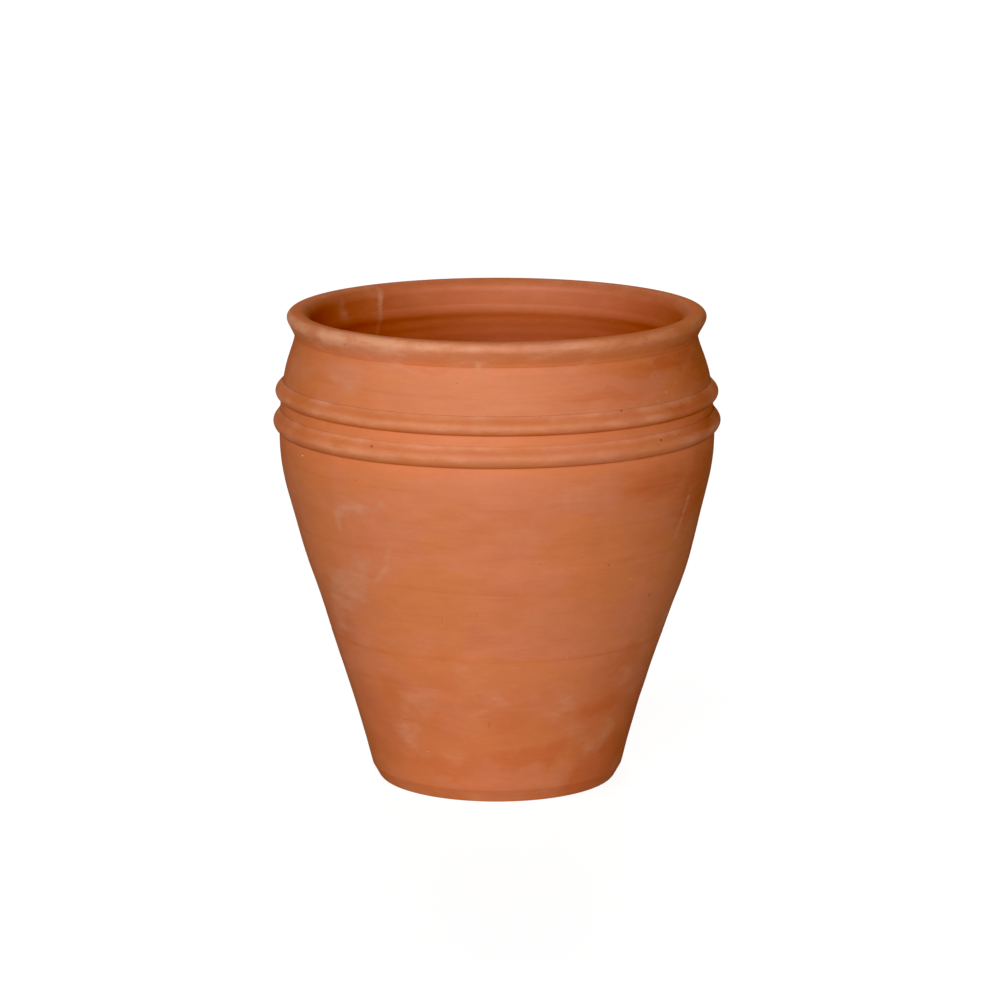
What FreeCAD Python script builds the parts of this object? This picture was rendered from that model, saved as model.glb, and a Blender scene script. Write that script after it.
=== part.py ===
"""Hand-thrown terracotta garden pot: a base slab, three thrown wall sections, two bands and a rolled rim.

Every piece is a ring of clay about the Z axis. Sections are drawn in the XZ half plane as (radius, height),
in millimetres. The origin is the centre of the base's underside, and +Z points up through the mouth.
"""

import FreeCAD, Part

import math
import os

from FreeCAD import Vector

# Driving dimensions, in millimetres.
BAND_RADIUS = 200.0  # crest of the lower band, the widest place
HEIGHT = 426.0  # crown of the rim
FOOT_RADIUS = 106.5  # where the pot stands
FOOT_ROUND = 2.5  # radius of the rounding between the underside and the bevel
BASE_TOP = 12.0  # thickness of the base slab
BASE_EDGE_RADIUS = 113.1  # top of the bevel round the slab
DRAIN_RADIUS = 13.0
DRAIN_ROUND = 1.5  # radius of the softened edge at both ends of the drain hole
FLOOR_RADIUS = 88.0  # flat floor inside the wall
WALL_JOIN = 138.0  # the second thrown section starts here
BAND_JOIN = 328.0  # the third one starts here, under the lower band
NECK_HEIGHT = 403.5  # crease under the rim
NECK_RADIUS = 179.6
THROAT_RADIUS = 166.0  # upright inner wall of the mouth
THROAT_BOTTOM = 397.0
THROAT_TOP = 415.5
FOOT_WALL = 16.0  # wall thickness at the foot
SHOULDER_WALL = 13.3  # wall thickness at the shoulder
SAME_PLACE = 0.001  # two edges whose radius and height differ by less are the same edge

# The outer face of the wall, from the base slab to the neck. It runs on unbroken behind the bands.
WALL_FACE = [
    (BASE_EDGE_RADIUS, BASE_TOP),
    (119.4, 36.0),
    (134.9, 90.0),
    (151.2, 140.0),
    (159.2, 165.0),
    (168.1, 190.5),
    (175.7, 216.0),
    (180.3, 235.0),
    (190.1, 274.0),
    (194.4, 306.0),
    (194.3, 326.0),
    (193.2, 345.0),
    (190.4, 366.5),
    (185.3, 385.0),
    (181.3, 396.5),
    (NECK_RADIUS, NECK_HEIGHT),
]
FIRST_INNER_STATION = 1  # the inner face follows the outer one between these stations
LAST_INNER_STATION = 13
FLOOR_CORNER = (96.8, 21.5)  # the curve between the floor and the inner face passes through here

# Sections of the two bands, from the crease beneath each to its long upper slope. They end inside the wall.
LOWER_BAND = [
    (191.5, 318.2),
    (195.6, 319.6),
    (198.7, 323.0),
    (BAND_RADIUS, 327.5),
    (198.7, 331.2),
    (195.7, 335.2),
    (193.6, 338.6),
    (190.5, 342.5),
]
UPPER_BAND = [
    (190.5, 346.2),
    (194.3, 347.5),
    (196.9, 350.2),
    (197.9, 353.6),
    (196.8, 357.0),
    (193.9, 360.2),
    (191.6, 363.0),
    (188.0, 367.0),
]
BAND_BACK = 186.0  # the bands' sections are closed inside the wall, and the wall is then cut away

# The rolled rim, from the throat up to its crown, and from the crown over the nose to the flare beneath.
RIM_CROWN = (177.5, HEIGHT)
RIM_INSIDE = [(THROAT_RADIUS, THROAT_TOP), (169.2, 422.7), RIM_CROWN]
RIM_OUTSIDE = [RIM_CROWN, (184.6, 424.6), (187.0, 420.5), (185.5, 415.5), (181.5, 408.0)]
RIM_UNDERSIDE = (180.3, 405.4)  # the small hollow between the flare and the neck passes through here
UPWARDS = Vector(0, 0, 1)
OUTWARDS = Vector(1, 0, 0)
DOWN_THE_FLARE = Vector(-0.46, 0, -0.89)


def at(station):
    """A point of the section in space."""
    radius, height = station
    return Vector(radius, 0, height)


def straight(a, b):
    return Part.LineSegment(at(a), at(b)).toShape()


def arc(a, middle, b):
    return Part.Arc(at(a), at(middle), at(b)).toShape()


def smooth(stations, start=None, end=None):
    """One smooth curve through the stations, with a direction at both ends if they are given."""
    curve = Part.BSplineCurve()
    points = [at(station) for station in stations]
    if start is None:
        curve.interpolate(Points=points)
    else:
        curve.interpolate(Points=points, InitialTangent=start, FinalTangent=end)
    return curve.toShape()


def turned(edges):
    """The ring that a closed section sweeps about the Z axis."""
    section = Part.Face(Part.Wire(edges))
    return section.revolve(Vector(0, 0, 0), Vector(0, 0, 1), 360)


def slab_between(low, high):
    """A disc wider than the pot, to take the stretch of it between two heights."""
    return Part.makeCylinder(1.5 * BAND_RADIUS, high - low, Vector(0, 0, low))


def inner_stations():
    """The inner face's stations: the outer ones moved in, square to the face, by the wall's thickness."""
    stations = []
    for i in range(FIRST_INNER_STATION, LAST_INNER_STATION + 1):
        (r_below, z_below), (r, z), (r_above, z_above) = WALL_FACE[i - 1 : i + 2]
        slope = math.atan2(r_above - r_below, z_above - z_below)
        share = (z - BASE_TOP) / (NECK_HEIGHT - BASE_TOP)
        thickness = FOOT_WALL + (SHOULDER_WALL - FOOT_WALL) * share
        stations.append((r - thickness * math.cos(slope), z + thickness * math.sin(slope)))
    return stations


def whole_wall():
    """The thrown wall in one piece, from the base slab to the neck."""
    inner = inner_stations()
    throat = (THROAT_RADIUS, THROAT_BOTTOM)
    neck_inside = (THROAT_RADIUS, NECK_HEIGHT)
    floor_edge = (FLOOR_RADIUS, BASE_TOP)
    return turned(
        [
            smooth(WALL_FACE),
            straight(WALL_FACE[-1], neck_inside),
            straight(neck_inside, throat),
            smooth([throat] + inner[::-1]),
            arc(inner[0], FLOOR_CORNER, floor_edge),
            straight(floor_edge, WALL_FACE[0]),
        ]
    )


def round_edge(solid, radius, height):
    """The solid's circular edge of this radius, at this height."""
    circles = [edge for edge in solid.Edges if isinstance(edge.Curve, Part.Circle)]
    for edge in circles:
        if math.dist((edge.Curve.Radius, edge.Curve.Center.z), (radius, height)) < SAME_PLACE:
            return edge
    raise ValueError(f"no edge of radius {radius} at height {height}")


def base_disc():
    """The slab that the pot stands on, with a bevelled edge and the drain hole."""
    underside = (DRAIN_RADIUS, 0)
    foot = (FOOT_RADIUS, 0)
    edge = (BASE_EDGE_RADIUS, BASE_TOP)
    floor = (DRAIN_RADIUS, BASE_TOP)
    disc = turned(
        [
            straight(underside, foot),
            straight(foot, edge),
            straight(edge, floor),
            straight(floor, underside),
        ]
    )
    softened = disc.makeFillet(DRAIN_ROUND, [round_edge(disc, *underside), round_edge(disc, *floor)])
    return softened.makeFillet(FOOT_ROUND, [round_edge(softened, *foot)])


def band(stations, wall):
    """A raised band: a coil of clay laid round the wall, so its back is the wall's own face."""
    low = (BAND_BACK, stations[0][1])
    high = (BAND_BACK, stations[-1][1])
    coil = turned(
        [
            smooth(stations),
            straight(stations[-1], high),
            straight(high, low),
            straight(low, stations[0]),
        ]
    )
    outside = coil.cut(wall).Solids
    return max(outside, key=lambda solid: solid.BoundBox.XMax)


def rim_coil():
    """The rolled rim, standing on the neck."""
    inside = (THROAT_RADIUS, NECK_HEIGHT)
    return turned(
        [
            straight((NECK_RADIUS, NECK_HEIGHT), inside),
            straight(inside, RIM_INSIDE[0]),
            smooth(RIM_INSIDE, UPWARDS, OUTWARDS),
            smooth(RIM_OUTSIDE, OUTWARDS, DOWN_THE_FLARE),
            arc(RIM_OUTSIDE[-1], RIM_UNDERSIDE, (NECK_RADIUS, NECK_HEIGHT)),
        ]
    )


def build():
    wall = whole_wall()
    nodes = {
        "base_disc": base_disc(),
        "lower_wall": wall.common(slab_between(BASE_TOP, WALL_JOIN)),
        "belly_wall": wall.common(slab_between(WALL_JOIN, BAND_JOIN)),
        "shoulder_wall": wall.common(slab_between(BAND_JOIN, NECK_HEIGHT)),
        "lower_band": band(LOWER_BAND, wall),
        "upper_band": band(UPPER_BAND, wall),
        "rim_coil": rim_coil(),
    }
    os.makedirs("parts", exist_ok=True)
    for name, shape in nodes.items():
        solids = shape.Solids
        assert len(solids) == 1 and solids[0].isValid() and solids[0].Volume > 0, name
        solids[0].exportStep(f"parts/{name}.step")
        box = solids[0].optimalBoundingBox()
        span = f"z {box.ZMin:.2f} to {box.ZMax:.2f}"
        print(f"{name}: {solids[0].Volume / 1000:.1f} cm3, radius {box.XMax:.2f}, {span}")


build()
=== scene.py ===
"""A hand-thrown terracotta pot, made as a potter would. Each ring of clay is turned from the frame's section,
marked by fingers, ribs and a cutting wire, coloured by the kiln and the weather, and given painted shade in
its creases, towards its foot and inside."""

import math

import bmesh
import bpy
import numpy as np
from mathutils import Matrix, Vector


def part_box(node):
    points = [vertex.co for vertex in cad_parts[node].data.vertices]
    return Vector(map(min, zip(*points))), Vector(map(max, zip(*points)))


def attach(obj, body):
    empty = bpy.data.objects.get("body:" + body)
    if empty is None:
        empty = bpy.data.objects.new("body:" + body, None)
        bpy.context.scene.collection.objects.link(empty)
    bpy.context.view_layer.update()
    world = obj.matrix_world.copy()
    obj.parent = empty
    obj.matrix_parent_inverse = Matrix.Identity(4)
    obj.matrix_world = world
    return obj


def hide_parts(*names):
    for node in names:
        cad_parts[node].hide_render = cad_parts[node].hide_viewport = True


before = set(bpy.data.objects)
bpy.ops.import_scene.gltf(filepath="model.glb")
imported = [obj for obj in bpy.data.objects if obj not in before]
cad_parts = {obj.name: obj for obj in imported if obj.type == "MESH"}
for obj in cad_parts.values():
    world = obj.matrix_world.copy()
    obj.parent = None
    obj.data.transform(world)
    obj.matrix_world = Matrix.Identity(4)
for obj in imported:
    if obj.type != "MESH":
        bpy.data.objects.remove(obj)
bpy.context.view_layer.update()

MM = 0.001

# Heights and widths of the pot, read from the frame.
WIDTH = 2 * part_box("lower_band")[1].x
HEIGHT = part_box("rim_coil")[1].z
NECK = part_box("rim_coil")[0].z
BASE_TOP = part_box("base_disc")[1].z
WALL_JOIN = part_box("lower_wall")[1].z
LOWER_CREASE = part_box("lower_band")[0].z
LOWER_BAND_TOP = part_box("lower_band")[1].z
UPPER_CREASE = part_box("upper_band")[0].z
UPPER_BAND_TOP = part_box("upper_band")[1].z

# Places between those, which no box of the frame gives.
LOWER_CREST = LOWER_CREASE + 8.5 * MM
UPPER_CREST = UPPER_CREASE + 6.8 * MM
BELLY = 185 * MM
SHOULDER = 300 * MM
THROAT = 392 * MM
FLOOR_RADIUS = 88 * MM
UNDERSIDE_RADIUS = 104 * MM
DRAIN_EDGE = 15 * MM  # the marks on the floor and the underside stop short of the drain hole

# How deep the potter's marks are.
FINE_LINES = 0.014 * MM
MIDDLING_LINES = 0.05 * MM
BROAD_WAVES = 0.2 * MM
JOIN_DEPTH = 0.3 * MM
JOIN_LEDGE = 0.15 * MM
GROOVE_DEPTH = 0.11 * MM
FINGER_DEPTH = 0.45 * MM
FINGER_PITCH = 11 * MM
WIRE_DEPTH = 0.5 * MM
WIRE_PITCH = 6.5 * MM
BLOTCH_SLANT = 7  # radians that the blotches below the join run round the pot for each metre up
OVAL = 0.0012  # how far out of round, as a share of the radius

# How finely the rings are turned.
SEGMENTS = 480
SECTORS = 20  # one sector is spun from the section, and the others are copies of it
OUTER_ROW = 1.5 * MM
INNER_ROW = 3 * MM
HIDDEN_ROW = 8 * MM
CORNER = math.radians(28)  # a section turns sharply where it turns by more than this
STRAIGHT = 3  # a step of a section this many times longer than the next one is a straight stretch
SEAM = 1e-6  # points closer than this are one
UPRIGHT_AXIS = {"cent": (0, 0, 0), "axis": (0, 0, 1)}


def clay_noise(along, around, spacing, sectors, seed):
    """Smooth random values from -1 to 1 that change quickly along the pot and slowly round it."""
    rows = 997
    table = np.random.default_rng(seed).uniform(-1, 1, (rows, sectors))
    row = along / spacing
    column = (around / math.tau % 1) * sectors
    i, j = np.floor(row).astype(int), np.floor(column).astype(int)
    u, v = row - i, column - j
    u, v = u * u * (3 - 2 * u), v * v * (3 - 2 * v)
    i0, i1, j0, j1 = i % rows, (i + 1) % rows, j % sectors, (j + 1) % sectors
    low = table[i0, j0] * (1 - v) + table[i0, j1] * v
    high = table[i1, j0] * (1 - v) + table[i1, j1] * v
    return low * (1 - u) + high * u


def hump(x, middle, width):
    """1 at the middle, falling away smoothly over the width."""
    return np.exp(-(((x - middle) / width) ** 2))


def ease(x, start, end):
    """0 before start, 1 after end, and smooth between."""
    t = np.clip((x - start) / (end - start), 0, 1)
    return t * t * (3 - 2 * t)


# ---- Sections ----


def section_of(node):
    """A node's section as an ordered loop of (radius, height), cut from a merged copy of its mesh."""
    bm = bmesh.new()
    bm.from_mesh(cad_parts[node].data)
    bmesh.ops.remove_doubles(bm, verts=bm.verts, dist=SEAM)
    whole = bm.verts[:] + bm.edges[:] + bm.faces[:]
    bmesh.ops.bisect_plane(
        bm, geom=whole, dist=SEAM, plane_co=(0, 0, 0), plane_no=(0, 1, 0), clear_inner=True, clear_outer=True
    )
    off_the_section = [v for v in bm.verts if v.co.x < 0 or abs(v.co.y) > SEAM]
    bmesh.ops.delete(bm, geom=off_the_section, context="VERTS")
    edges = {e for e in bm.edges if abs(e.verts[0].co.y) < SEAM and abs(e.verts[1].co.y) < SEAM}
    start = here = max(bm.verts, key=lambda v: v.co.x)
    loop, before = [], None
    while not loop or here is not start:
        loop.append((here.co.x, here.co.z))
        beside = [edge.other_vert(here) for edge in here.link_edges if edge in edges]
        onward = [vertex for vertex in beside if vertex is not before]
        before, here = here, onward[0]
    bm.free()
    points = np.array(loop)
    area = np.sum(points[:, 0] * np.roll(points[:, 1], -1) - np.roll(points[:, 0], -1) * points[:, 1])
    return points if area > 0 else points[::-1]


def runs_of(points):
    """The loop split at its sharp corners into smooth runs. Each run has both of its corners."""
    ahead = np.roll(points, -1, axis=0) - points
    heading = np.arctan2(ahead[:, 1], ahead[:, 0])
    turn = (heading - np.roll(heading, 1) + math.pi) % math.tau - math.pi
    corners = list(np.flatnonzero(abs(turn) > CORNER))
    runs = []
    for first, last in zip(corners, corners[1:] + [corners[0] + len(points)]):
        runs.append(points[np.arange(first, last + 1) % len(points)])
    return runs


def resampled(run, spacing):
    """Even points along the smooth curve through a run, with the outward normal at each."""
    steps = np.linalg.norm(np.diff(run, axis=0), axis=1)
    length = np.concatenate([[0], np.cumsum(steps)])
    ways = np.diff(run, axis=0) / steps[:, None]
    before, after = steps[:-1, None], steps[1:, None]
    slopes = (after * ways[:-1] + before * ways[1:]) / (before + after)
    slopes = np.where(before > STRAIGHT * after, ways[:-1], slopes)
    slopes = np.where(after > STRAIGHT * before, ways[1:], slopes)
    if len(slopes):
        slopes = np.concatenate([2 * ways[:1] - slopes[:1], slopes, 2 * ways[-1:] - slopes[-1:]])
    else:
        slopes = np.repeat(ways, 2, axis=0)
    fine = np.linspace(0, length[-1], 40 * len(run))
    k = np.clip(np.searchsorted(length, fine, side="right") - 1, 0, len(steps) - 1)
    h = steps[k][:, None]
    t = ((fine - length[k]) / steps[k])[:, None]
    curve = (
        (1 + 2 * t) * (1 - t) ** 2 * run[k]
        + t * (1 - t) ** 2 * h * slopes[k]
        + t * t * (3 - 2 * t) * run[k + 1]
        + t * t * (t - 1) * h * slopes[k + 1]
    )
    travelled = np.concatenate([[0], np.cumsum(np.linalg.norm(np.diff(curve, axis=0), axis=1))])
    count = max(1, round(travelled[-1] / spacing))
    even = np.linspace(0, travelled[-1], count + 1)
    points = np.stack([np.interp(even, travelled, curve[:, axis]) for axis in (0, 1)], axis=1)
    heading = np.gradient(points, axis=0) if count > 1 else np.repeat(np.diff(points, axis=0), 2, axis=0)
    heading /= np.linalg.norm(heading, axis=1)[:, None]
    return points, np.stack([heading[:, 1], -heading[:, 0]], axis=1)


def outline():
    """The outside of the whole pot: its heights, upwards, and the radius at each."""
    points = []
    for node in ("base_disc", "lower_wall", "belly_wall", "shoulder_wall", "rim_coil"):
        for run in runs_of(section_of(node)):
            spaced, normals = resampled(run, OUTER_ROW)
            points += [(height, radius) for (radius, height), (out, up) in zip(spaced, normals) if out > 0.1]
    return np.array(sorted(points)).T


def rows_of(node, outside, inside, level):
    """Evenly spaced points round a node's section, each with its normal. A corner takes the steeper one."""
    rows = []
    for run in runs_of(section_of(node)):
        middle = resampled(run, HIDDEN_ROW)[1].mean(axis=0)
        spacing = outside if middle[0] > 0.2 else inside if middle[0] < -0.2 else level
        points, normals = resampled(run, spacing)
        if rows and abs(normals[0][0]) < abs(rows[-1][1][0]):
            normals[0] = rows[-1][1]
        if rows:
            rows.pop()
        rows += list(zip(points, normals))
    last = rows.pop()
    if abs(last[1][0]) > abs(rows[0][1][0]):
        rows[0] = (rows[0][0], last[1])
    return rows


def turned(name, node, outside=OUTER_ROW, inside=INNER_ROW, level=HIDDEN_ROW):
    """A ring turned from a node's section, with its rows so far apart outside, inside and on level faces."""
    bm = bmesh.new()
    outward = bm.verts.layers.float.new("outward")
    upward = bm.verts.layers.float.new("upward")
    ring = []
    for (radius, height), (out, up) in rows_of(node, outside, inside, level):
        vertex = bm.verts.new((radius, 0, height))
        vertex[outward] = out
        vertex[upward] = up
        ring.append(vertex)
    for a, b in zip(ring, ring[1:] + ring[:1]):
        bm.edges.new((a, b))
    sector = math.tau / SECTORS
    profile = bm.verts[:] + bm.edges[:]
    bmesh.ops.spin(bm, geom=profile, angle=sector, steps=SEGMENTS // SECTORS, **UPRIGHT_AXIS)
    one_sector = bm.verts[:] + bm.edges[:] + bm.faces[:]
    bmesh.ops.spin(
        bm, geom=one_sector, angle=math.tau - sector, steps=SECTORS - 1, use_duplicate=True, **UPRIGHT_AXIS
    )
    bmesh.ops.remove_doubles(bm, verts=bm.verts, dist=SEAM)
    bmesh.ops.recalc_face_normals(bm, faces=bm.faces)
    mesh = bpy.data.meshes.new(name)
    bm.to_mesh(mesh)
    bm.free()
    mesh.shade_smooth()
    mesh.set_sharp_from_angle(angle=CORNER)
    piece = bpy.data.objects.new(name, mesh)
    bpy.context.scene.collection.objects.link(piece)
    return piece


# ---- The potter's hand ----


def lean(height):
    """How far the pot leans to one side at a height: it was lifted off the wheel while it was soft."""
    return 1.4 * MM * hump(height, BELLY, 45 * MM) - 0.5 * MM * hump(height, 400 * MM, 20 * MM)


def tilt(height):
    """How much higher the clay runs on one side than on the other at a height."""
    lower = 0.26 * MM * hump(height, LOWER_CREST, 12 * MM)
    upper = -0.6 * MM * hump(height, UPPER_CREST, 14 * MM)
    return lower + upper


def grooves(height, angle):
    """The few throwing lines that were cut deeper, each along part of the way round."""
    shown = 0
    for start, end, low, high in GROOVES:
        share = around_from(angle, start) / math.radians(end - start)
        line = (low + (high - low) * share) * MM
        faded = ease(share, 0, 0.25) * ease(1 - share, 0, 0.35)
        shown = shown + faded * hump(height, line, 1.0 * MM)
    return shown


def throwing_lines(along, angle):
    """Depth of the marks that the potter's rib leaves on the outside."""
    along = along + 1.2 * MM * np.sin(angle + 0.7) + 0.5 * MM * np.sin(2 * angle)
    fine = FINE_LINES * clay_noise(along, angle, 2.2 * MM, 9, 11)
    middling = MIDDLING_LINES * clay_noise(along, angle, 6 * MM, 7, 12)
    broad = BROAD_WAVES * clay_noise(along, angle, 18 * MM, 5, 13)
    above_join = 0.45 + 0.55 * ease(along, WALL_JOIN - 3 * MM, WALL_JOIN + 3 * MM)
    uneven = ease(clay_noise(along, angle, 50 * MM, 9, 14), -0.6, 0.6)
    join = JOIN_DEPTH * hump(along, WALL_JOIN, 1.3 * MM) * (0.45 + 0.55 * uneven)
    below_join = 1 - ease(along, WALL_JOIN - 2 * MM, WALL_JOIN + 3 * MM)
    ledge = JOIN_LEDGE * below_join * ease(along, 90 * MM, WALL_JOIN)
    cut = GROOVE_DEPTH * grooves(along, angle)
    return (fine + middling) * above_join + broad - join + ledge - cut


def finger_ridges(along, angle):
    """The stronger ridges that fingers leave on the inside, from the floor up to the throat."""
    along = along + 2.0 * MM * np.sin(angle - 1.1)
    wander = 1.4 * clay_noise(along, angle, 30 * MM, 4, 21)
    spiral = FINGER_DEPTH * np.sin(math.tau * along / FINGER_PITCH + angle + wander)
    fine = 0.12 * MM * clay_noise(along, angle, 3.2 * MM, 7, 22)
    smoothed = 1 - 0.8 * ease(along, NECK - 16 * MM, NECK)
    deep_down = 1 - 0.78 * ease(along, SHOULDER, 380 * MM)
    return smoothed * deep_down * (spiral + fine)


def cutting_wire(x, y):
    """Depth of the arcs that the twisted wire leaves under the base. Their centre is outside the pot."""
    wave = np.sin(math.tau * np.hypot(x - 190 * MM, y + 110 * MM) / WIRE_PITCH)
    return WIRE_DEPTH * (0.5 + 0.5 * wave)


# ---- Kiln, weather and painted shade ----

# Places are given as degrees round from the front, to the right, and height above the ground in millimetres.
# Patches also have half their width and half their height in millimetres, their slant and their strength.
BLOOM_PATCHES = (
    (-46, 386, 30, 9, 0.0, 0.45),
    (-28, 400, 24, 6, 0.0, 0.7),
    (-8, 402, 26, 9, 0.0, 0.55),
    (20, 402, 34, 5, 0.0, 0.6),
    (-54, 192, 30, 34, 0.3, 0.9),
    (-43, 214, 18, 17, 0.5, 0.75),
    (-45, 272, 20, 12, 0.6, 0.3),
    (-62, 160, 22, 20, 0.0, 0.5),
    (5, 262, 34, 9, 0.0, 0.35),
    (-34, 78, 26, 34, 0.6, 0.85),
    (-62, 384, 26, 10, 0.0, 0.6),
    (-12, 62, 16, 26, 0.7, 0.45),
    (34, 98, 22, 22, 0.8, 0.35),
    (52, 60, 16, 30, 0.6, 0.5),
    (-66, 300, 16, 60, 0.0, 0.3),
    (74, 180, 14, 60, 0.0, 0.55),
    (-72, 380, 20, 20, 0.0, 0.45),
    (-152, 404, 26, 12, 0.0, 0.3),
    (152, 398, 40, 9, 0.0, 0.2),
    (-118, 385, 24, 26, 0.0, 0.35),
    (110, 200, 34, 40, 0.3, 0.75),
    (135, 105, 26, 30, -0.5, 0.55),
    (182, 272, 50, 14, 0.0, 0.45),
    (205, 180, 30, 36, 0.4, 0.85),
    (165, 60, 30, 22, 0.6, 0.65),
    (-122, 232, 30, 34, -0.3, 0.85),
    (-95, 115, 24, 30, 0.5, 0.65),
    (-150, 88, 30, 24, 0.7, 0.65),
    (-80, 260, 20, 40, 0.0, 0.35),
    (105, 386, 26, 8, 0.0, 0.6),
)
ORANGE_PATCHES = (
    (-56, 300, 40, 17, 0.0, 0.9),
    (-22, 198, 34, 30, 0.4, 0.9),
    (25, 255, 44, 26, -0.5, 0.8),
    (30, 208, 34, 20, -0.3, 0.6),
    (2, 66, 46, 20, 0.7, 1.0),
    (28, 44, 34, 13, 0.6, 0.9),
    (-8, 385, 26, 15, 0.3, 0.9),
    (-58, 375, 20, 16, 0.0, 0.5),
    (-24, 120, 26, 12, 0.7, 0.5),
    (55, 418, 60, 8, 0.0, 0.7),
    (92, 262, 40, 20, 0.0, 0.8),
    (148, 190, 40, 26, 0.3, 0.9),
    (215, 290, 50, 18, 0.0, 0.8),
    (-110, 60, 40, 18, 0.6, 0.9),
    (190, 100, 46, 20, 0.7, 0.8),
    (-165, 160, 36, 22, -0.4, 0.8),
)
PINK_PATCHES = (
    (-8, 302, 66, 20, 0.0, 0.9),
    (40, 386, 50, 14, 0.0, 0.9),
    (24, 292, 38, 15, 0.0, 0.8),
    (60, 250, 30, 24, 0.0, 0.5),
    (-55, 143, 26, 9, 0.2, 1.0),
    (0, 158, 60, 20, 0.0, 0.5),
    (48, 170, 34, 24, 0.0, 0.7),
    (-6, 16, 46, 7, 0.0, 0.8),
    (-30, 215, 26, 16, 0.3, 0.5),
    (165, 322, 66, 16, 0.0, 0.8),
    (120, 155, 46, 16, 0.0, 0.8),
    (-95, 195, 40, 18, 0.2, 0.8),
    (-140, 290, 50, 18, 0.0, 0.7),
    (180, 30, 60, 12, 0.0, 0.7),
)
# Pits and stains, and grains of lime: degrees round from the front, height, width and height in millimetres,
# how far the spot is turned, and its strength.
PITS = (
    (-33, 333, 4.5, 3.0, 20, 0.6),
    (34, 363, 3.6, 2.4, 0, 0.7),
    (46, 333, 5.0, 2.6, -10, 0.6),
    (53, 187, 4.0, 3.4, 0, 0.45),
    (33, 225, 3.0, 3.0, 0, 0.4),
    (-17, 178, 1.8, 12, 6, 0.2),
    (-6, 184, 1.8, 9, -4, 0.15),
    (-3, 77, 1.6, 9, 0, 0.25),
    (38, 52, 9, 1.4, 30, 0.3),
    (-39, 300, 2.2, 1.6, 0, 0.5),
    (12, 231, 2.0, 1.6, 0, 0.4),
    (110, 333, 4.0, 2.6, 10, 0.6),
    (160, 200, 5.0, 3.0, 30, 0.5),
    (-100, 140, 3.2, 3.2, 0, 0.5),
    (-150, 250, 1.6, 14, 12, 0.4),
    (205, 60, 9, 1.6, -25, 0.5),
)
LIME = (
    (-61, 311, 3.4, 1.8, -15, 1.0),
    (-59, 309, 1.4, 1.2, 0, 0.8),
    (51, 372, 2.0, 1.4, 0, 0.8),
    (47, 366, 1.6, 1.2, 0, 0.7),
    (56, 378, 1.6, 1.6, 0, 0.6),
    (24, 140, 1.8, 1.4, 0, 0.3),
    (-30, 46, 2.0, 1.4, 0, 0.35),
    (140, 280, 2.4, 1.6, 0, 0.9),
    (-125, 90, 2.2, 1.8, 0, 0.8),
    (190, 352, 2.0, 1.6, 0, 0.8),
)
# Redder and darker, where the flame was short of air.
RED_PATCHES = (
    (46, 296, 48, 22, 0.1, 1.0),
    (66, 282, 36, 44, 0.0, 1.0),
    (72, 336, 40, 9, 0.0, 1.0),
    (60, 352, 50, 14, 0.0, 0.8),
    (52, 398, 60, 7, 0.0, 0.9),
    (30, 378, 40, 6, 0.0, 0.5),
    (70, 380, 30, 14, 0.0, 0.6),
    (62, 404, 50, 9, 0.0, 0.8),
    (42, 82, 34, 14, 1.0, 0.5),
    (-20, 34, 40, 12, 0.8, 0.4),
    (50, 22, 36, 24, 0.5, 1.0),
    (14, 46, 38, 12, 0.9, 0.55),
    (50, 130, 26, 14, 0.0, 0.5),
    (-60, 145, 20, 8, 0.0, 0.5),
    (-20, 402, 30, 3, 0.0, 0.5),
    (120, 250, 60, 18, 0.0, 0.6),
    (200, 300, 70, 14, 0.0, 0.5),
    (165, 120, 44, 26, 0.6, 0.6),
    (-110, 180, 50, 24, 0.3, 0.5),
)
# Deeper throwing lines: where each starts and ends, round from the front, and its heights there.
GROOVES = (
    (-85, -5, 235.5, 241),
    (-42, 25, 207, 201),
    (10, 85, 228, 226),
    (20, 95, 262, 257),
    (-85, -10, 299, 296),
    (-10, 75, 374, 376),
    (-70, 10, 380, 378),
    (-75, 0, 108, 112),
    (100, 200, 240, 236),
    (120, 230, 270, 274),
    (150, 260, 214, 210),
    (95, 170, 384, 382),
    (190, 280, 100, 104),
)
# Smears left by a wet hand: the points they pass through, half their width in millimetres, their strength.
SMEARS = (
    (((-48, 252), (-48, 264), (-44, 273), (-38, 276), (-34, 274), (-31, 284)), 3.0, 0.85),
    (((-31, 240), (-33, 222), (-38, 208)), 2.6, 0.55),
    (((-5, 405), (-4, 396)), 2.6, 0.7),
    (((48, 397), (49, 386)), 2.6, 0.55),
    (((63, 280), (62, 262), (60, 238)), 3.0, 1.0),
    (((-140, 421), (-140, 380)), 3.0, 0.75),
    (((-122, 418), (-124, 396)), 6.0, 0.5),
    (((-17, 183), (-18, 170)), 2.2, 0.35),
    (((128, 300), (131, 262), (126, 236)), 4.0, 0.6),
    (((-100, 240), (-104, 214), (-99, 190)), 5.0, 0.5),
    (((176, 210), (170, 186)), 4.0, 0.55),
)


def cloud(height, angle, size, seed):
    """Patchy random values from about -1 to 1, with smaller patches inside the larger ones."""
    total = 0
    for octave in range(4):
        patch = size / 2**octave
        sectors = round(math.tau * 160 * MM / patch)
        total = total + clay_noise(height, angle, patch, sectors, seed + octave) / 2**octave
    return total / 1.2


def around_from(angle, degrees):
    """How far round, in radians, an angle lies from a place given in degrees from the front."""
    return (angle - math.radians(degrees - 90) + math.pi) % math.tau - math.pi


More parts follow.
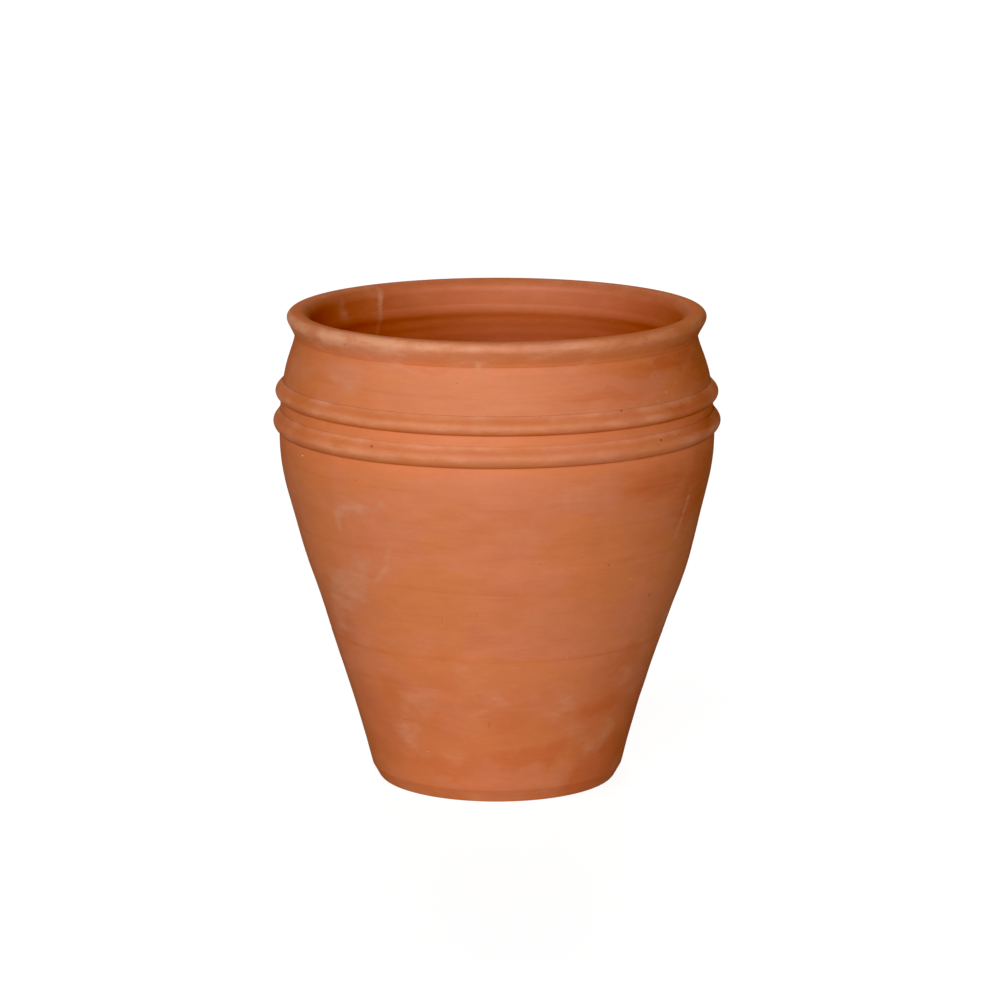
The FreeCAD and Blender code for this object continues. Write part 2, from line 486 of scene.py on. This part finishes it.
def patchy(patches, radius, height, angle):
    """How strongly soft-edged patches show, from 0 to 1."""
    rough_angle = angle + 0.05 * cloud(height, angle, 30 * MM, 31)
    rough_angle = rough_angle + 0.02 * cloud(height, angle, 9 * MM, 35)
    rough_height = height + 9 * MM * cloud(height, angle, 34 * MM, 39)
    rough_height = rough_height + 3 * MM * cloud(height, angle, 8 * MM, 43)
    shown = np.zeros_like(radius)
    for degrees, middle, half_width, half_height, slant, strength in patches:
        rise = rough_height - middle * MM
        across = around_from(rough_angle, degrees) * radius - slant * rise
        reach = np.hypot(across / (half_width * MM), rise / (half_height * MM))
        shown = np.maximum(shown, strength * (1 - ease(reach, 0.45, 1.25)))
    return shown


def smeared(radius, height, angle):
    """How strongly the smears of a wet hand show, from 0 to 1."""
    wobble = 1 + 0.5 * cloud(height, angle, 12 * MM, 51)
    shown = np.zeros_like(radius)
    for path, half_width, strength in SMEARS:
        for (degrees, low), (next_degrees, high) in zip(path, path[1:]):
            across = around_from(angle, degrees) * radius
            rise = height - low * MM
            run = math.radians(next_degrees - degrees) * radius
            climb = (high - low) * MM
            share = np.clip((across * run + rise * climb) / (run**2 + climb**2), 0, 1)
            away = np.hypot(across - share * run, rise - share * climb) / (half_width * MM * wobble)
            shown = np.maximum(shown, strength * (1 - ease(away, 0.2, 1.5)))
    return shown


def creased(height):
    """How near the surface is to one of the creases between two rings of clay, which get painted shade."""
    creases = (
        (LOWER_CREASE + 0.4 * MM, 0.7 * MM, 0.9),
        (UPPER_CREASE + 0.4 * MM, 0.7 * MM, 0.9),
        (NECK, 1.2 * MM, 0.5),
        (BASE_TOP, 1.2 * MM, 0.4),
        (WALL_JOIN, 1.2 * MM, 0.7),
    )
    return sum(strength * np.exp(-abs(height - at) / reach) for at, reach, strength in creases)


def sheltered_by_bands(height):
    """How far the bands and the rim keep the rain off the clay just below them."""
    total = 0
    for at, reach, strength in (
        (LOWER_CREASE, 7 * MM, 1.0),
        (UPPER_CREASE, 6 * MM, 0.9),
        (NECK + 3 * MM, 3.5 * MM, 0.9),
    ):
        below = ease(at - height, -0.5 * MM, 0.5 * MM)
        total = total + strength * below * np.exp(-np.maximum(at - height, 0) / reach)
    return np.clip(total, 0, 1)


def salted_ledges(height, angle):
    """Salts that gather on the ledges and crests of the bands and on the rim, most on the rim's left."""
    on_rim = 0.72 - 0.2 * np.sin(angle + math.pi / 2)
    ledges = (
        0.7 * hump(height, LOWER_BAND_TOP - 2 * MM, 2.2 * MM)
        + 0.6 * hump(height, UPPER_BAND_TOP - 1 * MM, 3.4 * MM)
        + 0.55 * hump(height, LOWER_CREST, 5 * MM)
        + 0.65 * hump(height, UPPER_CREST, 4 * MM)
        + on_rim * hump(height, HEIGHT - 5 * MM, 8 * MM)
    )
    return ledges * (0.85 + 0.35 * cloud(height * 2, angle, 40 * MM, 61))


def weather(piece, radius, height, angle, outside, inside, wire):
    """Writes what the kiln and the weather did to a ring, and where shade is painted on it, for its clay to
    read.
    """
    off_centre = ease(radius, DRAIN_EDGE, 60 * MM)
    sheltered = sheltered_by_bands(height)
    slanted = angle + BLOTCH_SLANT * np.minimum(height - WALL_JOIN, 0)
    thrown = cloud(height * 2, angle, 44 * MM, 71)
    blotched = cloud(height, slanted, 34 * MM, 75)
    above = ease(height, WALL_JOIN - 6 * MM, WALL_JOIN + 6 * MM)
    cloudy = thrown * above + blotched * (1 - above)
    orange = patchy(ORANGE_PATCHES, radius, height, angle)

    red = patchy(RED_PATCHES, radius, height, angle)
    red = red + 0.3 * ease(cloud(height * 1.5, angle, 60 * MM, 91), 0.1, 0.9)
    # Painted shade: the outside turns redder and darker from just above the wall join down towards the foot.
    red = red + 0.45 * ease(WALL_JOIN - height, -10 * MM, 80 * MM) * outside
    red = np.clip(red, 0, 1)

    bloom = (
        0.04
        + (0.55 - 0.25 * above) * ease(cloudy, 0.0, 1.0)
        + 0.8 * patchy(BLOOM_PATCHES, radius, height, angle)
        + salted_ledges(height, angle) * outside
        + 0.15 * hump(height, HEIGHT, 14 * MM) * inside
        + 0.16 * inside * ease(cloud(height, angle, 50 * MM, 95), -0.3, 0.8)
    )
    bloom = bloom * (1 - 0.4 * inside) * (1 - 0.8 * sheltered) * (1 - 0.55 * orange) * (1 - 0.75 * red)
    bloom = bloom + 0.85 * smeared(radius, height, angle)
    scuffed = 0.5 * hump(radius, 97 * MM, 5 * MM) * (wire > 0)
    bloom = 0.15 + (bloom - 0.15) * off_centre + scuffed

    kiln = (
        0.5
        + 0.42 * cloud(height * 0.7, slanted, 60 * MM, 81)
        - 0.6 * orange
        + 0.6 * patchy(PINK_PATCHES, radius, height, angle)
    )
    kiln = 0.5 + (kiln - 0.5) * off_centre

    # Painted shade inside the pot: darker below the throat and on the inner wall towards the back right.
    shaded_side = hump(around_from(angle, 125), 0, 0.5)
    below_throat = ease(THROAT - height, 0, 30 * MM) * (1 - 0.8 * ease(360 * MM - height, 0, 60 * MM))
    # Painted shade in the creases between rings of clay and in the deeper throwing lines, and below in the
    # grooves of the cutting wire.
    crease_shade = np.clip(creased(height) + 0.4 * grooves(height, angle), 0, 1)
    fields = {
        "painted_crease_shade": crease_shade * outside + 0.5 * wire / WIRE_DEPTH,
        "sheltered": sheltered * outside,
        "red": red,
        "inner_shade": inside * np.clip(below_throat + 0.6 * shaded_side, 0, 1),
        "bloom": np.clip(bloom, 0, 1),
        "kiln": np.clip(kiln, 0, 1),
        "thrown": above,
        "inside": inside,
    }
    for name, values in fields.items():
        layer = piece.data.attributes.new(name, "FLOAT", "POINT")
        layer.data.foreach_set("value", values.astype(np.float32))


def handle(piece):
    """Moves a ring's surface as the potter's hands did, the same way wherever two rings meet."""
    mesh = piece.data
    count = len(mesh.vertices)
    co = np.empty(count * 3)
    mesh.vertices.foreach_get("co", co)
    co = co.reshape(-1, 3)
    out = np.empty(count)
    up = np.empty(count)
    mesh.attributes["outward"].data.foreach_get("value", out)
    mesh.attributes["upward"].data.foreach_get("value", up)
    radius = np.hypot(co[:, 0], co[:, 1])
    height = co[:, 2].copy()
    angle = np.arctan2(co[:, 1], co[:, 0])

    outside = ease(out, 0.1, 0.6)
    low_down = ease(BASE_TOP + 6 * MM - height, 0, 5 * MM)
    within = ease(-radius, -FLOOR_RADIUS - 2 * MM, -FLOOR_RADIUS)
    floor = ease(up, 0.8, 0.95) * low_down * within
    inside = np.maximum(ease(-out, 0.1, 0.6), floor)
    under = (up < -0.95) & (height < 0.5 * MM)
    flat_within = np.where(under, UNDERSIDE_RADIUS, FLOOR_RADIUS)
    along = height - np.maximum(flat_within - radius, 0)

    off_drain = ease(radius, DRAIN_EDGE + 1 * MM, DRAIN_EDGE + 7 * MM)
    fingers = finger_ridges(along, angle) * np.where(height < 100 * MM, off_drain, 1)
    off_foot = ease(height, 0, 4 * MM)
    depth = outside * throwing_lines(height, angle) + inside * fingers
    depth = depth * np.where(out > 0.3, off_foot, 1)
    radius = radius + out * depth + OVAL * radius * np.cos(2 * angle - 1.0) * off_foot
    co[:, 0] = radius * np.cos(angle) + lean(height)
    co[:, 1] = radius * np.sin(angle)
    co[:, 2] = height + up * depth + tilt(height) * np.cos(angle)

    drain_to_foot = ease(radius, DRAIN_EDGE, DRAIN_EDGE + 5 * MM)
    drain_to_foot = drain_to_foot * ease(UNDERSIDE_RADIUS - radius, 1 * MM, 6 * MM)
    wire = cutting_wire(co[:, 0], co[:, 1]) * drain_to_foot * under
    co[:, 2] += wire
    mesh.vertices.foreach_set("co", co.ravel())
    mesh.update()
    weather(piece, radius, along, angle, outside, inside, wire)


# ---- Clay ----

# A mix node's colour sockets, whose names are also those of its number sockets.
FIRST_COLOUR, SECOND_COLOUR, MIXED_COLOUR = 6, 7, 2


class Clay:
    """A material's nodes, built up from the object's own coordinates."""

    def __init__(self, name):
        self.material = bpy.data.materials.new(name)
        self.material.use_nodes = True
        self.tree = self.material.node_tree
        self.shader = self.tree.nodes["Principled BSDF"]
        self.place = self.tree.nodes.new("ShaderNodeTexCoord").outputs["Object"]

    def node(self, kind, inputs=None, **settings):
        made = self.tree.nodes.new(kind)
        for key, value in settings.items():
            setattr(made, key, value)
        for key, value in (inputs or {}).items():
            self.feed(made.inputs[key], value)
        return made

    def feed(self, socket, value):
        if isinstance(value, bpy.types.NodeSocket):
            self.tree.links.new(value, socket)
        else:
            socket.default_value = value

    def stretched(self, scale):
        return self.node("ShaderNodeMapping", {"Vector": self.place, "Scale": scale}).outputs[0]

    def noise(self, scale, detail, roughness, distortion=0.0):
        made = self.node(
            "ShaderNodeTexNoise",
            {
                "Vector": self.stretched(scale),
                "Scale": 1.0,
                "Detail": detail,
                "Roughness": roughness,
                "Distortion": distortion,
            },
        )
        return made.outputs["Fac"]

    def ramp(self, value, low, high, to_low=0.0, to_high=1.0):
        made = self.node(
            "ShaderNodeMapRange",
            {"Value": value, "From Min": low, "From Max": high, "To Min": to_low, "To Max": to_high},
            interpolation_type="SMOOTHSTEP",
        )
        return made.outputs[0]

    def math(self, operation, a, b):
        return self.node("ShaderNodeMath", {0: a, 1: b}, operation=operation).outputs[0]

    def mix(self, share, a, b, blend="MIX"):
        made = self.node("ShaderNodeMix", data_type="RGBA", blend_type=blend)
        self.feed(made.inputs["Factor"], share)
        self.feed(made.inputs[FIRST_COLOUR], a)
        self.feed(made.inputs[SECOND_COLOUR], b)
        return made.outputs[MIXED_COLOUR]

    def spot(self, degrees, height, wide, tall, tilt=0):
        """1 at the middle of an oval spot on the outside, falling to 0 at its edge. Sizes in millimetres."""
        around = math.radians(degrees)
        radius = float(np.interp(height * MM, OUTLINE_HEIGHTS, OUTLINE_RADII))
        made = self.node(
            "ShaderNodeMapping",
            {
                "Vector": self.place,
                "Location": (radius * math.sin(around), -radius * math.cos(around), height * MM),
                "Rotation": (0, math.radians(tilt), around),
                "Scale": (wide / 2 * MM, SPOT_REACH, tall / 2 * MM),
            },
            vector_type="TEXTURE",
        )
        shown = self.node("ShaderNodeTexGradient", {0: made.outputs[0]}, gradient_type="SPHERICAL")
        return shown.outputs["Fac"]

    def spots(self, places):
        """Several spots as one value, each with its strength."""
        total = 0.0
        for *place, strength in places:
            shown = self.ramp(self.spot(*place), 0.0, 0.45, 0.0, strength)
            total = self.math("MAXIMUM", total, shown)
        return total

    def attribute(self, name):
        return self.node("ShaderNodeAttribute", attribute_name=name).outputs["Fac"]


def rgb(red, green, blue):
    return (red, green, blue, 1)


OUTLINE_HEIGHTS, OUTLINE_RADII = outline()
SPOT_REACH = 9 * MM  # how far in and out of the surface a spot reaches
SPECKS_PER_METRE = 62.0

ORANGE = rgb(0.630, 0.198, 0.076)
PINK = rgb(0.632, 0.202, 0.097)
RED = rgb(0.56, 0.140, 0.050)
FRESH = rgb(0.72, 0.215, 0.085)
BLOOM = rgb(0.600, 0.240, 0.130)
CHALK = rgb(0.70, 0.322, 0.182)
TAN = rgb(0.675, 0.275, 0.148)
INNER = rgb(0.54, 0.158, 0.072)
SOOT = rgb(0.24, 0.07, 0.04)
LIME_WHITE = rgb(0.75, 0.55, 0.42)
SHADE = rgb(0.46, 0.130, 0.064)


def fired(clay, streak, thrown, inside):
    """The clay's colour: orange where the kiln was hot, pinker elsewhere, red where it lacked air, and
    painted shade in its creases, towards the foot and inside.
    """
    wisp = clay.noise((14, 14, 46), 6, 0.62, distortion=0.5)
    kiln = clay.math("ADD", clay.attribute("kiln"), clay.ramp(wisp, 0.3, 0.7, -0.28, 0.28))
    colour = clay.mix(clay.ramp(kiln, 0.05, 0.95), ORANGE, PINK)
    strands = clay.ramp(streak, 0.3, 0.65, clay.ramp(thrown, 0, 1, 0.9, 0.55), 1.0)
    # The red attribute carries the kiln's red patches and, low on the outside, painted shade.
    flashed_and_low_shade = clay.math("MULTIPLY", clay.attribute("red"), strands)
    drawn_out = clay.ramp(streak, 0.5, 0.8, 0.0, 0.2)
    drawn_out = clay.math("MULTIPLY", drawn_out, clay.ramp(thrown, 0, 1, 0.2, 1.0))
    reddened = clay.math("ADD", flashed_and_low_shade, drawn_out)
    colour = clay.mix(clay.math("MULTIPLY", reddened, 0.9), colour, RED)
    colour = clay.mix(clay.math("MULTIPLY", clay.attribute("sheltered"), 0.85), colour, FRESH)
    # Painted shade in the creases, the deeper throwing lines and the grooves of the cutting wire.
    colour = clay.mix(clay.math("MULTIPLY", clay.attribute("painted_crease_shade"), 0.8), colour, RED)
    colour = clay.mix(clay.math("MULTIPLY", inside, 0.6), colour, INNER)
    # Painted shade inside the pot, below the throat and towards the back right.
    return clay.mix(clay.math("MULTIPLY", clay.attribute("inner_shade"), 0.85), colour, SHADE)


def bloomed(clay, mottle, streak, thrown):
    """How much salt has bloomed out of the clay, broken up by its texture."""
    drawn = clay.ramp(streak, 0.25, 0.7, 1.15, clay.ramp(thrown, 0, 1, 1.0, 0.8))
    broken = clay.math("MULTIPLY", clay.ramp(mottle, 0.3, 0.7, 0.45, 1.3), drawn)
    return clay.math("MULTIPLY", clay.attribute("bloom"), broken)


def speckled(clay):
    """Small dark and pale specks all over, as two values."""
    cells = clay.node("ShaderNodeTexVoronoi", {"Vector": clay.place, "Scale": SPECKS_PER_METRE}, feature="F1")
    specks = clay.ramp(cells.outputs["Distance"], 0.035, 0.07, 1.0, 0.0)
    chosen = clay.node("ShaderNodeSeparateColor", {0: cells.outputs["Color"]})
    dark = clay.math("MULTIPLY", specks, clay.ramp(chosen.outputs[0], 0.80, 0.84, 0.0, 0.55))
    pale = clay.math("MULTIPLY", specks, clay.ramp(chosen.outputs[1], 0.90, 0.94, 0.0, 0.32))
    return dark, pale


def textured(clay, colour, hair, mottle, grain, thrown):
    """The colour, a little darker and lighter with the throwing lines and the grain."""
    lined = clay.ramp(hair, 0.25, 0.75, clay.ramp(thrown, 0, 1, 0.99, 0.975), 1.015)
    shade = clay.math("MULTIPLY", lined, clay.ramp(mottle, 0.25, 0.75, 0.955, 1.04))
    shade = clay.math("MULTIPLY", shade, clay.ramp(grain, 0.25, 0.75, 0.97, 1.03))
    grey = clay.node("ShaderNodeCombineColor", {0: shade, 1: shade, 2: shade}).outputs[0]
    return clay.mix(1.0, colour, grey, "MULTIPLY")


def terracotta(name, salts):
    """Fired clay with salts bloomed out of it, pits, grains of lime, a fine dry texture and painted shade."""
    clay = Clay(name)
    inside = clay.attribute("inside")
    thrown = clay.attribute("thrown")
    mottle = clay.noise((38, 38, 90), 6, 0.68, distortion=0.3)
    streak = clay.noise((15, 15, 290), 5, 0.66)
    hair = clay.noise((26, 26, 820), 4, 0.6)
    grain = clay.noise((1100, 1100, 1100), 3, 0.6)

    bloom = bloomed(clay, mottle, streak, thrown)
    colour = fired(clay, streak, thrown, inside)
    colour = clay.mix(clay.ramp(bloom, 0.02, 1.0, 0.0, 0.95), colour, salts)
    outside = clay.math("SUBTRACT", 1.0, inside)
    pits = clay.math("MULTIPLY", clay.spots(PITS), outside)
    lime = clay.math("MULTIPLY", clay.spots(LIME), outside)
    dark_specks, pale_specks = speckled(clay)
    for shown, stain in ((pits, SOOT), (lime, LIME_WHITE), (dark_specks, SOOT), (pale_specks, LIME_WHITE)):
        colour = clay.mix(shown, colour, stain)

    lift = clay.math("ADD", clay.math("MULTIPLY", hair, 0.5), clay.math("MULTIPLY", grain, 0.25))
    lift = clay.math("ADD", lift, clay.math("MULTIPLY", mottle, 0.5))
    lift = clay.math("SUBTRACT", lift, clay.math("MULTIPLY", clay.math("ADD", pits, dark_specks), 1.5))
    bump = clay.node("ShaderNodeBump", {"Height": lift, "Distance": 0.12 * MM, "Strength": 0.5})
    shader = clay.shader
    clay.feed(shader.inputs["Base Color"], textured(clay, colour, hair, mottle, grain, thrown))
    clay.feed(shader.inputs["Roughness"], clay.ramp(bloom, 0.1, 0.9, 0.58, 0.8))
    clay.feed(shader.inputs["Normal"], bump.outputs[0])
    shader.inputs["Specular IOR Level"].default_value = 0.5
    return clay.material


WALL = terracotta("wall_clay", BLOOM)
BANDS = terracotta("band_clay", TAN)
RIM = terracotta("rim_clay", CHALK)
BASE = terracotta("base_clay", BLOOM)

PIECES = {
    "base_slab": ("base_disc", "base_clay", BASE, {"inside": 1.5 * MM, "level": 1.5 * MM}),
    "foot_wall": ("lower_wall", "wall_clay", WALL, {}),
    "belly": ("belly_wall", "wall_clay", WALL, {}),
    "shoulder": ("shoulder_wall", "wall_clay", WALL, {"inside": 1.5 * MM}),
    "lower_coil": ("lower_band", "band_clay", BANDS, {"outside": 0.8 * MM}),
    "upper_coil": ("upper_band", "band_clay", BANDS, {"outside": 0.8 * MM}),
    "rim_roll": ("rim_coil", "rim_clay", RIM, {"outside": 1 * MM, "inside": 1 * MM, "level": 1 * MM}),
}
for name, (node, slot, clay, rows) in PIECES.items():
    piece = turned(name, node, **rows)
    handle(piece)
    piece.data.materials.append(clay)
    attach(piece, "root")
    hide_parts(node)


# ---- Studio ----

FLOOR_GLOW = 0.88
FLOOR_PAPER = 0.25
BOUNCE_GLOW = 0.46
WORLD_GLOW = 0.02
BLACK_POINT = 0.03  # light below this prints as black, as it does in a camera
SOFTNESS = math.radians(40)  # how wide a soft light looks from the pot
MOUTH_LIGHT_HEIGHT = 3.0
MOUTH_LIGHT_CONE = math.radians(6.8)  # a little narrower than the throat, seen from that height


def upright_arc(along, up, wide, high, start, steps):
    """Points along a quarter of an upright ellipse about (along, up), without the one that it starts from."""
    turns = np.linspace(start, start + math.pi / 2, steps + 1)[1:]
    return [(along + wide * math.cos(turn), up + high * math.sin(turn)) for turn in turns]


def sheet(name, section, glow, paper):
    """A white sheet spun from its section. It glows, and its paper is this white for shadows to fall on."""
    bm = bmesh.new()
    ring = [bm.verts.new((along, 0, up)) for along, up in section]
    line = [bm.edges.new(pair) for pair in zip(ring, ring[1:])]
    bmesh.ops.spin(bm, geom=ring + line, angle=math.tau, steps=96, use_merge=True, **UPRIGHT_AXIS)
    bmesh.ops.remove_doubles(bm, verts=bm.verts, dist=MM)
    mesh = bpy.data.meshes.new(name)
    bm.to_mesh(mesh)
    bm.free()
    mesh.shade_smooth()
    made = bpy.data.objects.new(name, mesh)
    bpy.context.scene.collection.objects.link(made)
    white = bpy.data.materials.new(name)
    white.use_nodes = True
    shader = white.node_tree.nodes["Principled BSDF"]
    shader.inputs["Base Color"].default_value = rgb(paper, paper, paper)
    shader.inputs["Roughness"].default_value = 1
    shader.inputs["Specular IOR Level"].default_value = 0
    shader.inputs["Emission Color"].default_value = rgb(1, 1, 1)
    shader.inputs["Emission Strength"].default_value = glow
    white.cycles.emission_sampling = "NONE"
    mesh.materials.append(white)
    return made


def sweep():
    """The pale floor, which turns up far away into a backdrop that closes over the pot."""
    far = 40 * WIDTH
    bend = 0.4 * far
    section = [(0, 0), (far - bend, 0)]
    section += upright_arc(far - bend, bend, bend, bend, -math.pi / 2, 12)
    section += upright_arc(0, bend, far, far, 0, 16)
    made = sheet("sweep", section, FLOOR_GLOW, FLOOR_PAPER)
    made.location.z = -0.2 * MM
    made.visible_diffuse = False
    made.visible_glossy = False
    made.visible_shadow = False


def bounce():
    """Light thrown back up from the floor."""
    made = sheet("bounce", [(0, 0), (20 * WIDTH, 0)], BOUNCE_GLOW, 0.0)
    made.location.z = -1 * MM
    made.visible_camera = False
    made.visible_glossy = False
    made.visible_shadow = False


def soft_light(name, strength, around, up, glossy=True):
    """A broad soft light from a direction: degrees round from the front, to the right, and degrees up."""
    light = bpy.data.lights.new(name, "SUN")
    light.energy = strength
    light.angle = SOFTNESS
    made = bpy.data.objects.new(name, light)
    flat = math.cos(math.radians(up))
    around = math.radians(around)
    towards = Vector((math.sin(around) * flat, -math.cos(around) * flat, math.sin(math.radians(up))))
    made.rotation_euler = towards.to_track_quat("Z", "Y").to_euler()
    made.visible_glossy = glossy
    bpy.context.scene.collection.objects.link(made)


def mouth_light():
    """A narrow light straight above, which reaches only what is inside the mouth."""
    light = bpy.data.lights.new("into_mouth", "SPOT")
    light.energy = 125
    light.spot_size = MOUTH_LIGHT_CONE
    light.spot_blend = 0.4
    light.shadow_soft_size = 0.02
    made = bpy.data.objects.new("into_mouth", light)
    made.location.z = MOUTH_LIGHT_HEIGHT
    bpy.context.scene.collection.objects.link(made)


def lights():
    """Three soft lights in front, and weaker ones for the other sides, which leave no glint on the rim."""
    soft_light("left", 0.96, -45, 27)
    soft_light("right", 0.77, 22, 27)
    soft_light("front", 1.45, -9, 15)
    soft_light("behind", 1.35, -178, 30, glossy=False)
    soft_light("right_side", 0.08, 100, 4, glossy=False)
    soft_light("overhead", 0.08, -30, 82, glossy=False)
    mouth_light()
    world = bpy.data.worlds.new("studio")
    world.use_nodes = True
    background = world.node_tree.nodes["Background"]
    background.inputs[0].default_value = rgb(1, 1, 1)
    background.inputs[1].default_value = WORLD_GLOW
    bpy.context.scene.world = world


def camera():
    """A long lens, well back and a little above the pot."""
    lens = bpy.data.cameras.new("camera")
    lens.lens = 155.3
    lens.sensor_width = 36
    lens.clip_end = 500 * WIDTH
    made = bpy.data.objects.new("camera", lens)
    made.location = (0.0068 * WIDTH, -9.5 * WIDTH, 2.6 * WIDTH)
    made.rotation_euler = (math.radians(90 - 11.72), 0, 0)
    bpy.context.scene.collection.objects.link(made)
    bpy.context.scene.camera = made
    look = bpy.context.scene.view_settings
    look.view_transform = "Standard"
    look.use_curve_mapping = True
    look.curve_mapping.black_level = (BLACK_POINT, BLACK_POINT, BLACK_POINT)
    look.curve_mapping.update()


sweep()
bounce()
lights()
camera()
